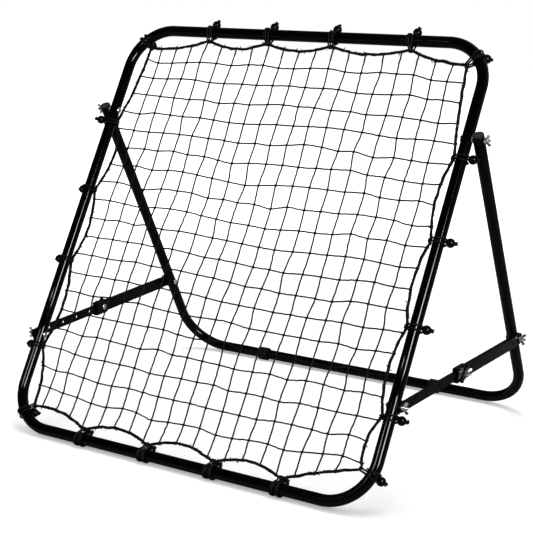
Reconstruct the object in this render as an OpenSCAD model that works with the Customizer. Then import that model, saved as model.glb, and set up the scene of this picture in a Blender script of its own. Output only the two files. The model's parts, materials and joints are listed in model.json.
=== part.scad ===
// Pitch back rebounder: a leaning tube frame with a laced net, a hinged rear
// stand and two telescoping side struts that set the lean.

/* [Front frame] */
// Width of the front frame over its tubes
frame_w = 950; // [800:1:1100]
// Height of the front frame over its tubes, along its lean
frame_h = 1031; // [950:1:1200]
// Bend radius of the frame's corners, at the tube's centreline
frame_bend = 100; // [80:1:120]
// Angle that the front frame leans back from upright
frame_lean = 31.44; // [26:0.01:36]
// Diameter of every frame tube
tube_d = 25; // [22:0.5:28]
// Wall of every frame tube
tube_wall = 1.2; // [1:0.1:2]
// Height of the plug joint between the upper and lower frame tubes, along the rail
joint_up = 243; // [225:1:280]
// Length of the swaged spigot below that joint
spigot_l = 60; // [50:1:80]
// Radial clearance of the spigot inside the lower tube
spigot_gap = 0.1; // [0.05:0.05:0.4]

/* [Rear stand] */
// Distance from the bottom tube to the stand's hinge, along the rail
pivot_up = 790; // [770:1:820]
// Angle of the stand's legs from upright
stand_lean = 27.06; // [22:0.01:32]
// Bend radius of the stand's corners, at the tube's centreline
stand_bend = 106; // [80:1:130]
// Length of leg tube above the hinge bolt
leg_over = 11; // [9:0.5:16]
// Thickness of the nylon washer between rail and leg
washer_t = 0.8; // [0.6:0.1:3]
// Diameter of the nylon washer
washer_d = 15; // [12:0.5:20]
// Height of the domed end plug above the leg's end
plug_h = 3; // [2:0.5:5]
// Length of the end plug's shank inside the leg
plug_l = 6; // [4:0.5:7]
// Distance of each rubber foot ring from the middle of the stand
ring_x = 252; // [150:1:330]
// Length of a rubber foot ring
ring_l = 26; // [18:1:40]

/* [Struts] */
// Distance from the bottom tube to the strut's front bolt, along the rail
strut_up = 213.7; // [208:0.1:222]
// Distance from the hinge to the strut's rear bolt, down the leg
strut_down = 543.5; // [530:0.1:560]
// Height of the perforated bar
bar_w = 21; // [18:0.5:24]
// Thickness of the perforated bar
bar_t = 5; // [4:0.5:6]
// Distance between the bar's holes
hole_pitch = 52; // [45:1:55]
// Number of adjusting holes behind the front bolt
hole_count = 5; // [3:1:5]
// Diameter of the adjusting holes
hole_d = 6.8; // [6.4:0.1:7.5]
// Length of bar behind the clamp bolt
bar_tail = 24; // [18:1:30]
// Wall of the sleeve tube
sleeve_wall = 1.2; // [1:0.1:2]
// Play of the bar inside the sleeve, each way
sleeve_play = 1.8; // [1.6:0.1:2.2]
// Length of sleeve in front of the clamp bolt
sleeve_lead = 24; // [20:1:30]
// Thickness of the sleeve's flattened end
tongue_t = 4; // [3:0.5:5]
// Distance from the rear bolt to the start of the flattening
tongue_l = 19; // [18:1:24]
// Length of the flattening taper
taper_l = 14; // [10:1:18]
// Length of the plastic collar behind the clamp bolt
collar_back = 12; // [10:1:16]
// Length of the collar's lip in front of the sleeve
collar_lip = 4; // [2:0.5:6]
// Wall of the collar over the sleeve's edges
collar_edge = 3; // [2:0.5:4]
// Wall of the collar over the sleeve's faces
collar_face = 2; // [1.5:0.5:3]
// Length of the black clamp plate
plate_l = 48; // [40:1:54]
// Width of the clamp plate
plate_w = 13; // [11:0.5:16]
// Thickness of the clamp plate
plate_t = 3; // [2:0.5:4]
// Angle of the clamp plate to the strut
plate_turn = 48; // [0:1:90]
// Length of a tube saddle, along its tube
saddle_l = 30; // [24:1:31]
// Width of a tube saddle, across its tube
saddle_w = 20; // [18:0.5:22]
// Thickness of a tube saddle at the tube's crest
saddle_t = 1.1; // [1:0.1:3]
// Depth that a tube saddle reaches down the sides of its tube
saddle_reach = 4.5; // [3:0.5:5]

/* [Fasteners] */
// Diameter of every bolt
bolt_d = 6; // [5:0.5:6]
// Diameter of a bolt's domed head
head_d = 14; // [12:0.5:16]
// Height of a bolt's domed head
head_h = 3.6; // [2.5:0.1:4.5]
// Radial clearance of a moving piece on its bolt
run_gap = 0.06; // [0.03:0.01:0.1]
// Extra diameter of the tube holes of a strut bolt, which let it rock
rock_d = 2.8; // [2.6:0.1:3.2]
// Diameter of a plastic washer under a strut's wing nut
cap_d = 20; // [16:0.5:22]
// Thickness of that washer
cap_t = 1.5; // [1:0.1:3]
// Diameter of a wing nut's base
nut_d = 12; // [10.5:0.5:13]
// Height of a wing nut's body
nut_h = 8; // [6:0.5:10]
// Distance from a wing nut's centre to its wing tip
wing_r = 13; // [12:0.5:14]
// Radius of a wing's round tip
wing_tip = 3.4; // [2.5:0.1:4]
// Thickness of a wing
wing_t = 2.4; // [1.5:0.1:3]
// Height of a wing above the nut's seat
wing_h = 12.4; // [11:0.1:14]
// Length of bolt past its wing nut
bolt_over = 5; // [2:0.5:8]

/* [Net] */
// Diameter of the border rope
rope_d = 5; // [4:0.5:6]
// Diameter of the net's twine
twine_d = 2; // [1.5:0.1:3]
// Number of meshes across
net_cols = 17; // [8:1:17]
// Number of meshes up
net_rows = 17; // [8:1:17]
// Distance of the rope inside the top and bottom tubes, at a tie
inset_edge = 21; // [19:0.5:26]
// Distance of the rope inside the side rails, at a tie
inset_side = 17; // [16.5:0.5:22]
// Distance of the rope inside a corner's bend, at its tie
inset_corner = 26; // [22:0.5:32]
// How far the rope draws in between the top ties
sag_top = 15; // [5:1:25]
// How far the rope draws in between the bottom ties
sag_bottom = 18; // [5:1:25]
// How far the rope draws in between the right rail's ties
sag_right = 15; // [5:1:30]
// How far the rope draws in between the left rail's ties
sag_left = 24; // [5:1:30]

/* [Ties] */
// Places of the top ties from the middle
tie_top = [-252, -89, 78, 277]; // [-300:1:300]
// Places of the bottom ties from the middle
tie_bottom = [-255, -78, 97, 263]; // [-300:1:300]
// Places of the right rail's ties, up the rail
tie_right = [188, 377, 563, 745]; // [150:1:800]
// Places of the left rail's ties, up the rail
tie_left = [188, 403, 583, 758]; // [150:1:800]
// Directions of the corner ties from their bend's centre
tie_corner = [-18, 42, 135, -134]; // [-180:1:180]
// Diameter of the elastic cord
cord_d = 4; // [3:0.5:5]
// Splay of a tie's two strands, each way
splay = 6; // [0:1:8]
// Diameter of a tie's ball
ball_d = 20; // [16:0.5:21]
// Diameter of the knot outside the ball
knot_d = 10; // [8:0.5:12]
// Turn of the top balls towards the back
roll_top = -20; // [-40:1:20]
// Turn of the bottom balls round to the back
roll_bottom = -126; // [-130:1:-120]
// Turn of the rails' balls, from the lowest tie to the highest
roll_side = [0, 0, 0, 42]; // [-60:1:60]
// Turn of the corner balls, in the order of their directions
roll_corner = [-60, -58, -85, -107]; // [-120:1:60]

/* [Clearances] */
// Gap between pieces with curved faces
seat_gap = 0.3; // [0.2:0.05:0.4]
// Gap between flat faces that clamp together
face_gap = 0.1; // [0.05:0.05:0.2]
// Gap between the elastic cord and what it goes round
cord_gap = 0.4; // [0.35:0.05:0.6]
// Depth of the flats that the cords and rings rest on
flat_cut = 0.5; // [0.3:0.1:0.8]

/* [Hidden] */
$fn = 48;
tube_r = tube_d / 2;
bore_r = tube_r - tube_wall;
spigot_r = bore_r - spigot_gap;
half_w = frame_w / 2 - tube_r;
rail_h = frame_h - tube_d;
cord_r = cord_d / 2;
rope_r = rope_d / 2;
// height of the lowest tube centres above the ground
ground = tube_r + cord_gap + cord_d - flat_cut;
ring_r = ground + flat_cut;
// distance between the rail's and the leg's centrelines, across the nylon washer
leg_gap = tube_d + washer_t + 2 * face_gap;
leg_x = half_w + leg_gap;
leg_l = pivot_up * cos(frame_lean) / cos(stand_lean);
depth = pivot_up * sin(frame_lean) + leg_l * sin(stand_lean);
front_reach = tube_r + cord_gap + cord_d;
front_y = (front_reach - ring_r - depth) / 2;

// points and directions in the two tube planes
function on_rail(x, s) = [x, front_y + s * sin(frame_lean), ground + s * cos(frame_lean)];
pivot = on_rail(0, pivot_up);
rail_dir = [0, sin(frame_lean), cos(frame_lean)];
leg_dir = [0, sin(stand_lean), -cos(stand_lean)];
function on_leg(t) = pivot + [leg_x, 0, 0] + t * leg_dir;

// struts: each bolt tips about its tube until it is square to the strut
function unit(v) = v / norm(v);
function spin(v, k, a) = v * cos(a) + cross(k, v) * sin(a) + k * (k * v) * (1 - cos(a));
across = [1, 0, 0];
front_foot = on_rail(half_w, strut_up);
rear_foot = on_leg(strut_down);
front_off = tube_r + seat_gap + saddle_t + face_gap + bar_t / 2;
rear_off = tube_r + seat_gap + saddle_t + face_gap + tongue_t / 2;
function front_bolt_dir(a) = spin(across, rail_dir, a);
function rear_bolt_dir(a) = spin(across, leg_dir, a);
function strut_dir(a, b) =
    unit(rear_foot + rear_off * rear_bolt_dir(b) - front_foot - front_off * front_bolt_dir(a));
function tip_angle(e, k) = -atan((e * across) / (e * cross(k, across)));
function tips(a, b, n) = n == 0 ? [a, b] :
    let (e = strut_dir(a, b)) tips(tip_angle(e, rail_dir), tip_angle(e, leg_dir), n - 1);
tip = tips(0, 0, 8);
bolt_a = front_bolt_dir(tip[0]);
bolt_b = rear_bolt_dir(tip[1]);
strut = strut_dir(tip[0], tip[1]);
strut_len = norm(rear_foot + rear_off * bolt_b - front_foot - front_off * bolt_a);

clamp_u = hole_pitch * hole_count;
clamp_v = strut_len - clamp_u;
sleeve_l = clamp_v + sleeve_lead;
cavity_w = bar_w + 2 * sleeve_play;
cavity_t = bar_t + 2 * sleeve_play;
sleeve_w = cavity_w + 2 * sleeve_wall;
sleeve_t = cavity_t + 2 * sleeve_wall;
collar_t = sleeve_t + 2 * (collar_face + face_gap);
collar_w = sleeve_w + 2 * (collar_edge + face_gap);
pin_r = bolt_d / 2 + run_gap;

// a straight line's frame: origin p, local X along ex, local Z along ez
module at_frame(p, ex, ez) {
    ey = cross(ez, ex);
    multmatrix([[ex[0], ey[0], ez[0], p[0]],
                [ex[1], ey[1], ez[1], p[1]],
                [ex[2], ey[2], ez[2], p[2]],
                [0, 0, 0, 1]]) children();
}
module in_frame() { translate([0, front_y, ground]) rotate([90 - frame_lean, 0, 0]) children(); }
module in_stand() { translate(pivot) rotate([stand_lean - 90, 0, 0]) children(); }
module at_bar() { at_frame(front_foot + front_off * bolt_a, strut, bolt_a) children(); }
module at_sleeve() { at_frame(rear_foot + rear_off * bolt_b, -strut, bolt_b) children(); }
module at_front_tube() { at_frame(front_foot, rail_dir, bolt_a) children(); }
module at_rear_tube() { at_frame(rear_foot, leg_dir, bolt_b) children(); }
module left() { mirror([1, 0, 0]) children(); }

// ---- tubes ----
module rod(p, a, l, r) { translate(p) rotate(a) cylinder(r = r, h = l); }
module bend(c, a0, sweep, bend_r, r) {
    translate(c) rotate([0, 0, a0]) rotate_extrude(angle = sweep) translate([bend_r, 0]) circle(r = r);
}
// an upside-down U in the XY plane: legs from y0 up to the crown at y1
module u_up(hw, y0, y1, b, r) {
    for (m = [-1, 1]) rod([m * hw, y0, 0], [-90, 0, 0], y1 - b - y0, r);
    bend([hw - b, y1 - b, 0], 0, 90, b, r);
    bend([b - hw, y1 - b, 0], 90, 90, b, r);
    rod([b - hw, y1, 0], [0, 90, 0], 2 * (hw - b), r);
}
// cross holes through both legs of a U
module cross_hole(hw, y, d) { for (m = [-1, 1]) rod([m * hw - tube_d, y, 0], [0, 90, 0], 2 * tube_d, d / 2); }

module upper_frame_tube() {
    color("black") in_frame() difference() {
        union() {
            u_up(half_w, joint_up, rail_h, frame_bend, tube_r);
            for (m = [-1, 1]) rod([m * half_w, joint_up - spigot_l, 0], [-90, 0, 0], spigot_l + 1, spigot_r);
        }
        u_up(half_w, joint_up + 6, rail_h, frame_bend, bore_r);
        for (m = [-1, 1]) {
            rod([m * half_w, joint_up - spigot_l - 1, 0], [-90, 0, 0], spigot_l + 8, spigot_r - tube_wall);
        }
        cross_hole(half_w, pivot_up, bolt_d + 2 * run_gap);
        cross_hole(half_w, strut_up, bolt_d + rock_d);
    }
}
module lower_frame_tube() {
    color("black") in_frame() difference() {
        rotate([180, 0, 0]) u_up(half_w, -joint_up, 0, frame_bend, tube_r);
        rotate([180, 0, 0]) u_up(half_w, -joint_up - 1, 0, frame_bend, bore_r);
        cross_hole(half_w, strut_up, bolt_d + rock_d);
    }
}
module rear_stand_tube() {
    color("black") in_stand() difference() {
        u_up(leg_x, -leg_over, leg_l, stand_bend, tube_r);
        u_up(leg_x, -leg_over - 1, leg_l, stand_bend, bore_r);
        cross_hole(leg_x, 0, bolt_d + 2 * run_gap);
        cross_hole(leg_x, strut_down, bolt_d + rock_d);
    }
}
module end_plug() {
    color("dimgray") in_stand() translate([leg_x, -leg_over, 0]) rotate([90, 0, 0]) {
        translate([0, 0, -plug_l]) cylinder(r = bore_r - face_gap, h = plug_l + 1);
        translate([0, 0, face_gap]) intersection() {
            cylinder(r = tube_r, h = plug_h);
            translate([0, 0, plug_h - 2 * tube_d]) sphere(r = 2 * tube_d, $fn = 96);
        }
    }
}
module foot_ring() {
    color("black") difference() {
        translate([ring_x - ring_l / 2, front_y + depth, ground]) rotate([0, 90, 0]) rotate_extrude()
            polygon([[tube_r + face_gap, 0], [ring_r - 1.2, 0], [ring_r, 1.2], [ring_r, ring_l - 1.2],
                     [ring_r - 1.2, ring_l], [tube_r + face_gap, ring_l]]);
        translate([ring_x - ring_l, front_y + depth - 2 * tube_d, -tube_d])
            cube([2 * ring_l, 4 * tube_d, tube_d]);
    }
}

// ---- fasteners: Z runs from the head to the nut ----
module dome_head() {
    // a low dome whose rim is a fifth of its height
    rim = head_h / 5;
    cap = head_h - rim;
    r = (head_d * head_d / 4 + cap * cap) / (2 * cap);
    rotate([180, 0, 0]) intersection() {
        cylinder(d = head_d, h = head_h);
        translate([0, 0, head_h - r]) sphere(r = r, $fn = 96);
    }
}
module shank(z0, z1) {
    translate([0, 0, z0]) cylinder(d = bolt_d, h = z1 - z0 - 0.8);
    translate([0, 0, z1 - 0.8]) cylinder(d1 = bolt_d, d2 = bolt_d - 1.6, h = 0.8);
}
module bolt(seat, end) {
    translate([0, 0, seat]) dome_head();
    shank(seat - head_h / 2, end);
}
module wing_nut(seat) {
    tip_x = wing_r - wing_tip;
    color("silver") translate([0, 0, seat]) {
        difference() {
            cylinder(d1 = nut_d, d2 = nut_d * 0.78, h = nut_h);
            translate([0, 0, -1]) cylinder(r = pin_r, h = nut_h + 2);
        }
        for (a = [0, 180]) rotate([90, 0, a]) linear_extrude(height = wing_t, center = true) {
            polygon([[nut_d * 0.36, 1], [nut_d * 0.49, 1], [wing_r, wing_h - wing_tip],
                     [tip_x - wing_tip * 0.8, wing_h - wing_tip * 0.6], [nut_d * 0.37, nut_h * 0.9]]);
            translate([tip_x, wing_h - wing_tip]) circle(r = wing_tip);
        }
    }
}
module flat_ring(seat, d, t) {
    translate([0, 0, seat]) difference() {
        cylinder(d = d, h = t);
        translate([0, 0, -1]) cylinder(r = pin_r, h = t + 2);
    }
}
// hinge bolt, from inside the rail to outside the leg
module at_pivot() { translate(pivot + [half_w, 0, 0]) rotate([0, 90, 0]) children(); }
pivot_seat = leg_gap + tube_r + seat_gap;
module pivot_bolt() {
    color("silver") at_pivot() bolt(-tube_r - seat_gap, pivot_seat + nut_h + bolt_over);
}
module pivot_washer() { color("lightgray") at_pivot() flat_ring(tube_r + face_gap, washer_d, washer_t); }
module pivot_nut() { at_pivot() rotate([0, 0, 20]) wing_nut(pivot_seat); }

// ---- struts ----
front_cap = front_off + bar_t / 2 + face_gap;
rear_cap = rear_off + tongue_t / 2 + face_gap;
cap_top = cap_t + face_gap;
module saddle() {
    // a stadium block whose underside is hollowed to the tube
    difference() {
        translate([0, 0, tube_r + seat_gap + saddle_t - saddle_reach])
            linear_extrude(height = saddle_reach) {
                square([saddle_l - saddle_w, saddle_w], center = true);
                for (m = [-1, 1]) translate([m * (saddle_l - saddle_w) / 2, 0]) circle(d = saddle_w);
            }
        rotate([0, 90, 0]) cylinder(r = tube_r + seat_gap, h = 2 * saddle_l, center = true, $fn = 96);
        cylinder(r = pin_r, h = 4 * tube_d);
    }
}
module front_bolt() {
    color("silver") at_front_tube() bolt(-tube_r - seat_gap, front_cap + cap_top + nut_h + bolt_over);
}
module front_saddle() { color("black") at_front_tube() saddle(); }
module front_washer() { color("black") at_front_tube() flat_ring(front_cap, cap_d, cap_t); }
module front_nut() { at_front_tube() rotate([0, 0, 35]) wing_nut(front_cap + cap_top); }
module rear_bolt() {
    color("silver") at_rear_tube() bolt(-tube_r - seat_gap, rear_cap + cap_top + nut_h + bolt_over);
}
module rear_saddle() { color("black") at_rear_tube() saddle(); }
module rear_washer() { color("black") at_rear_tube() flat_ring(rear_cap, cap_d, cap_t); }
module rear_nut() { at_rear_tube() rotate([0, 0, -40]) wing_nut(rear_cap + cap_top); }

module strut_bar() {
    // flat bar with round ends, its front end turning on the front bolt
    bar_l = clamp_u + bar_tail;
    color("#303030") at_bar() linear_extrude(height = bar_t, center = true) difference() {
        union() {
            translate([0, -bar_w / 2]) square([bar_l - bar_w / 2, bar_w]);
            circle(d = bar_w);
            translate([bar_l - bar_w / 2, 0]) circle(d = bar_w);
        }
        circle(r = pin_r);
        for (i = [1 : hole_count]) translate([i * hole_pitch, 0]) circle(d = hole_d);
    }
}
// rectangle w by h with corners of radius r
module round_rect(w, h, r) {
    square([w, h - 2 * r], center = true);
    square([w - 2 * r, h], center = true);
    for (x = [-1, 1], y = [-1, 1]) translate([x * (w / 2 - r), y * (h / 2 - r)]) circle(r = r);
}
module strut_sleeve() {
    // side view, plan and section of a rectangular tube pressed flat at its rear end
    taper = tongue_l + taper_l;
    color("#2b2b2b") at_sleeve() difference() {
        intersection() {
            linear_extrude(height = 2 * sleeve_t, center = true) {
                circle(d = sleeve_w);
                translate([0, -sleeve_w / 2]) square([sleeve_l, sleeve_w]);
            }
            rotate([90, 0, 0]) linear_extrude(height = 2 * sleeve_w, center = true)
                polygon([[-sleeve_w, -tongue_t / 2], [tongue_l, -tongue_t / 2], [taper, -sleeve_t / 2],
                         [sleeve_l + 1, -sleeve_t / 2], [sleeve_l + 1, sleeve_t / 2],
                         [taper, sleeve_t / 2], [tongue_l, tongue_t / 2], [-sleeve_w, tongue_t / 2]]);
            translate([-sleeve_w, 0, 0]) rotate([90, 0, 90]) linear_extrude(height = sleeve_l + 2 * sleeve_w)
                round_rect(sleeve_w, sleeve_t, sleeve_wall);
        }
        translate([taper + 2 * sleeve_wall, -cavity_w / 2, -cavity_t / 2])
            cube([sleeve_l, cavity_w, cavity_t]);
        cylinder(r = pin_r, h = 2 * sleeve_t, center = true);
        translate([clamp_v, 0, 0]) cylinder(r = pin_r, h = 2 * sleeve_t, center = true);
    }
}
module sleeve_collar() {
    color("black") at_sleeve() difference() {
        translate([clamp_v - collar_back, 0, 0]) rotate([90, 0, 90])
            linear_extrude(height = collar_back + sleeve_lead + collar_lip) round_rect(collar_w, collar_t, 3);
        translate([clamp_v - collar_back - 1, 0, 0]) rotate([90, 0, 90])
            linear_extrude(height = collar_back + 1 + sleeve_lead + face_gap)
                round_rect(sleeve_w + 2 * face_gap, sleeve_t + 2 * face_gap, sleeve_wall);
        translate([clamp_v, -cavity_w / 2, -cavity_t / 2]) cube([sleeve_l, cavity_w, cavity_t]);
        translate([clamp_v, 0, 0]) cylinder(r = pin_r, h = 2 * collar_t, center = true);
    }
}
plate_seat = collar_t / 2 + face_gap;
plate_top = plate_seat + plate_t + face_gap;
module at_clamp() { at_sleeve() translate([clamp_v, 0, 0]) children(); }
module clamp_bolt() {
    // the bar's holes pass between the bolt's two ends while the strut slides
    stub = cavity_t / 2 + 0.2;
    color("silver") at_clamp() {
        bolt(-plate_seat, -stub);
        shank(stub, plate_top + nut_h + bolt_over);
    }
}
module clamp_plate() {
    color("black") at_clamp() translate([0, 0, plate_seat]) rotate([0, 0, plate_turn])
        linear_extrude(height = plate_t) difference() {
            union() {
                square([plate_l - plate_w, plate_w], center = true);
                for (m = [-1, 1]) translate([m * (plate_l - plate_w) / 2, 0]) circle(d = plate_w);
            }
            circle(r = pin_r);
        }
}
module clamp_nut() { at_clamp() rotate([0, 0, 60]) wing_nut(plate_top); }

// ---- net, rope and ties, all in the front frame's plane ----
corner_bends = [[1, 0], [1, 1], [-1, 1], [-1, 0]];
function bend_centre(c) = [c[0] * (half_w - frame_bend), c[1] > 0 ? rail_h - frame_bend : frame_bend];
// each tie: [tube centre, outward angle, rope inset, ball turn, rope draw-in to the next tie];
// a ball's turn is positive towards the front
ties_bottom = [for (x = tie_bottom) [[x, 0], -90, inset_edge, roll_bottom, sag_bottom]];
ties_right = [for (i = [0 : 3]) [[half_w, tie_right[i]], 0, inset_side, roll_side[i], sag_right]];
ties_top = [for (i = [3 : -1 : 0]) [[tie_top[i], rail_h], 90, inset_edge, roll_top, sag_top]];
ties_left = [for (i = [3 : -1 : 0]) [[-half_w, tie_left[i]], 180, inset_side, roll_side[i], sag_left]];
sag_corner = (sag_top + sag_bottom) / 3;
ties_corner = [for (i = [0 : 3]) let (a = tie_corner[i])
    [bend_centre(corner_bends[i]) + frame_bend * [cos(a), sin(a)], a, inset_corner, roll_corner[i], sag_corner]];
function with_sag(t, s) = [t[0], t[1], t[2], t[3], s];
ring_of_ties = [for (i = [0 : 3]) i < 3 ? ties_bottom[i] : with_sag(ties_bottom[i], sag_corner),
    ties_corner[0], for (i = [0 : 3]) i < 3 ? ties_right[i] : with_sag(ties_right[i], sag_corner),
    ties_corner[1], for (i = [0 : 3]) i < 3 ? ties_top[i] : with_sag(ties_top[i], sag_corner),
    ties_corner[2], for (i = [0 : 3]) i < 3 ? ties_left[i] : with_sag(ties_left[i], sag_corner),
    ties_corner[3]];
tie_total = len(ring_of_ties);
function rope_at(t) = t[0] - t[2] * [cos(t[1]), sin(t[1])];
function along(t) = [-sin(t[1]), cos(t[1])];
// the rope stays straight this far each side of a tie
straight = cord_d + cord_gap + 2;
function span_point(t, u, f) =
    let (p = rope_at(t) + straight * along(t), q = rope_at(u) - straight * along(u), d = unit(q - p))
    p + f * (q - p) + 4 * f * (1 - f) * t[4] * [-d[1], d[0]];
route = [for (i = [0 : tie_total - 1]) let (t = ring_of_ties[i], u = ring_of_ties[(i + 1) % tie_total])
    for (p = [rope_at(t) - straight * along(t), rope_at(t) + straight * along(t),
              span_point(t, u, 0.3), span_point(t, u, 0.7)]) p];
route_n = len(route);
function before(i) = route[(i + route_n - 1) % route_n];
function after(i) = route[(i + 1) % route_n];
// inward normal of the route at a point, lengthened to keep the rope's width in a bend
function inward(i) =
    let (a = unit(route[i] - before(i)), b = unit(after(i) - route[i]), m = unit(a + b))
    [-m[1], m[0]] / max(0.5, m * a);

module net_border_rope() {
    sides = 8;
    color("black") in_frame() polyhedron(
        points = [for (i = [0 : route_n - 1], k = [0 : sides - 1])
            let (w = route[i] + rope_r * cos(360 * k / sides) * inward(i)) [w[0], w[1], rope_r * sin(360 * k / sides)]],
        faces = [for (i = [0 : route_n - 1], k = [0 : sides - 1])
            let (a = i * sides + k, b = i * sides + (k + 1) % sides,
                 c = ((i + 1) % route_n) * sides + (k + 1) % sides, d = ((i + 1) % route_n) * sides + k)
            each [[a, b, c], [a, c, d]]],
        convexity = 10);
}
module net_mesh() {
    gap = rope_r + seat_gap;
    x0 = half_w - inset_side;
    y0 = inset_edge;
    y1 = rail_h - inset_edge;
    // the twine stops short of the loops that the ties lay over the rope
    reach = rope_r + cord_gap + cord_d + seat_gap;
    side = strand_off + cord_r + seat_gap + reach * tan(splay);
    color("black") in_frame() linear_extrude(height = twine_d, center = true) intersection() {
        difference() {
            polygon([for (i = [0 : route_n - 1]) route[i] + gap * inward(i)]);
            for (t = ring_of_ties) translate(rope_at(t)) rotate(t[1]) square(2 * [reach, side], center = true);
        }
        union() {
            for (i = [1 : net_cols - 1])
                translate([-x0 + 2 * x0 * i / net_cols - twine_d / 2, 0]) square([twine_d, rail_h]);
            for (i = [1 : net_rows - 1])
                translate([-half_w, y0 + (y1 - y0) * i / net_rows - twine_d / 2]) square([2 * half_w, twine_d]);
        }
    }
}
// one strand round the tube at the origin and the rope at [-d, 0], in the XY plane: an arc round
// each, two straight runs, and a round joint at each of the four meeting points
module strand(d) {
    rt = tube_r + cord_gap + cord_r;
    rr = rope_r + cord_gap + cord_r;
    b = acos((rt - rr) / d);
    joint_r = cord_r * 1.08;
    short = cord_r / 5;
    module arc(r, a) {
        trim = short / r * 180 / PI;
        rotate([0, 0, a + trim]) rotate_extrude(angle = 360 - 2 * (a + trim)) translate([r, 0]) circle(r = cord_r);
    }
    rotate([0, 0, 180]) arc(rt, b);
    translate([-d, 0, 0]) arc(rr, 180 - b);
    for (m = [-1, 1]) {
        translate([-rt * cos(b), m * rt * sin(b), 0]) rotate([0, 0, 180 + m * (90 - b)]) rotate([0, 90, 0]) {
            translate([0, 0, short]) cylinder(r = cord_r, h = d * sin(b) - 2 * short);
            sphere(r = joint_r);
            translate([0, 0, d * sin(b)]) sphere(r = joint_r);
        }
    }
}
strand_off = cord_r + 0.7;
// sideways place of a strand where the ball sits, and the ball's distance from the tube's centre
function ball_side(t) = strand_off + (t[2] + (tube_r + cord_r) * cos(t[3])) * tan(splay);
function ball_out(t) =
    tube_r + cord_gap + cord_r + sqrt(pow(ball_d / 2 + cord_r + seat_gap, 2) - pow(ball_side(t), 2));
module at_tie(t) { in_frame() translate([t[0][0], t[0][1], 0]) rotate([0, 0, t[1]]) children(); }
module tie_cord(t) {
    out = ball_out(t);
    at_tie(t) {
        for (m = [-1, 1]) translate([-t[2], m * strand_off, 0]) rotate([0, 0, m * splay])
            translate([t[2], 0, 0]) rotate([90, 0, 0]) strand(t[2]);
        rotate([0, -t[3], 0]) rotate([0, 90, 0]) {
            translate([0, 0, out - ball_d / 2 + 1]) cylinder(r = cord_r, h = ball_d);
            translate([0, 0, out + ball_d / 2 + knot_d / 2 - 0.3]) sphere(d = knot_d);
        }
    }
}
module tie_ball(t) {
    out = ball_out(t);
    at_tie(t) rotate([0, -t[3], 0]) rotate([0, 90, 0]) translate([0, 0, out]) difference() {
        sphere(d = ball_d);
        cylinder(r = cord_r + seat_gap, h = 2 * ball_d, center = true);
        translate([0, 0, ball_d / 2 + knot_d / 2 - 0.3]) sphere(d = knot_d + 2 * seat_gap);
    }
}
module tie_cords(ts) { color("black") for (t = ts) tie_cord(t); }
module tie_balls(ts) { color("black") for (t = ts) tie_ball(t); }
module above_ground() {
    difference() {
        children();
        translate([-frame_w / 2, front_y - 2 * tube_d, -tube_d]) cube([frame_w, 4 * tube_d, tube_d]);
    }
}

upper_frame_tube();
lower_frame_tube();
rear_stand_tube();
left() end_plug();  // end_plug_l
end_plug();  // end_plug_r
left() foot_ring();  // foot_ring_l
foot_ring();  // foot_ring_r
left() pivot_bolt();  // pivot_bolt_l
pivot_bolt();  // pivot_bolt_r
left() pivot_washer();  // pivot_washer_l
pivot_washer();  // pivot_washer_r
left() pivot_nut();  // pivot_nut_l
pivot_nut();  // pivot_nut_r
left() front_bolt();  // front_bolt_l
front_bolt();  // front_bolt_r
left() front_saddle();  // front_saddle_l
front_saddle();  // front_saddle_r
left() front_washer();  // front_washer_l
front_washer();  // front_washer_r
left() front_nut();  // front_nut_l
front_nut();  // front_nut_r
left() strut_bar();  // strut_bar_l
strut_bar();  // strut_bar_r
left() rear_bolt();  // rear_bolt_l
rear_bolt();  // rear_bolt_r
left() rear_saddle();  // rear_saddle_l
rear_saddle();  // rear_saddle_r
left() rear_washer();  // rear_washer_l
rear_washer();  // rear_washer_r
left() rear_nut();  // rear_nut_l
rear_nut();  // rear_nut_r
left() strut_sleeve();  // strut_sleeve_l
strut_sleeve();  // strut_sleeve_r
left() sleeve_collar();  // sleeve_collar_l
sleeve_collar();  // sleeve_collar_r
left() clamp_bolt();  // clamp_bolt_l
clamp_bolt();  // clamp_bolt_r
left() clamp_plate();  // clamp_plate_l
clamp_plate();  // clamp_plate_r
left() clamp_nut();  // clamp_nut_l
clamp_nut();  // clamp_nut_r
net_mesh();
net_border_rope();
tie_cords(ties_top);  // tie_cords_top
above_ground() tie_cords(ties_bottom);  // tie_cords_bottom
tie_cords(ties_left);  // tie_cords_left
tie_cords(ties_right);  // tie_cords_right
tie_cords(ties_corner);  // tie_cords_corner
tie_balls(ties_top);  // tie_balls_top
tie_balls(ties_bottom);  // tie_balls_bottom
tie_balls(ties_left);  // tie_balls_left
tie_balls(ties_right);  // tie_balls_right
tie_balls(ties_corner);  // tie_balls_corner
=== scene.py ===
"""Looks of a pitch back rebounder: a leaning tube frame with a laced net, its ties, struts and fasteners.

Lengths in the shape functions are millimetres in the part's own directions; place() turns the front
frame's own directions (across, up the rails, out of the net) into the model's metres.
"""
import json
import math

import bmesh
import bpy
import numpy as np
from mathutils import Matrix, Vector
from bpy.props import FloatProperty, FloatVectorProperty, IntProperty, PointerProperty

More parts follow.
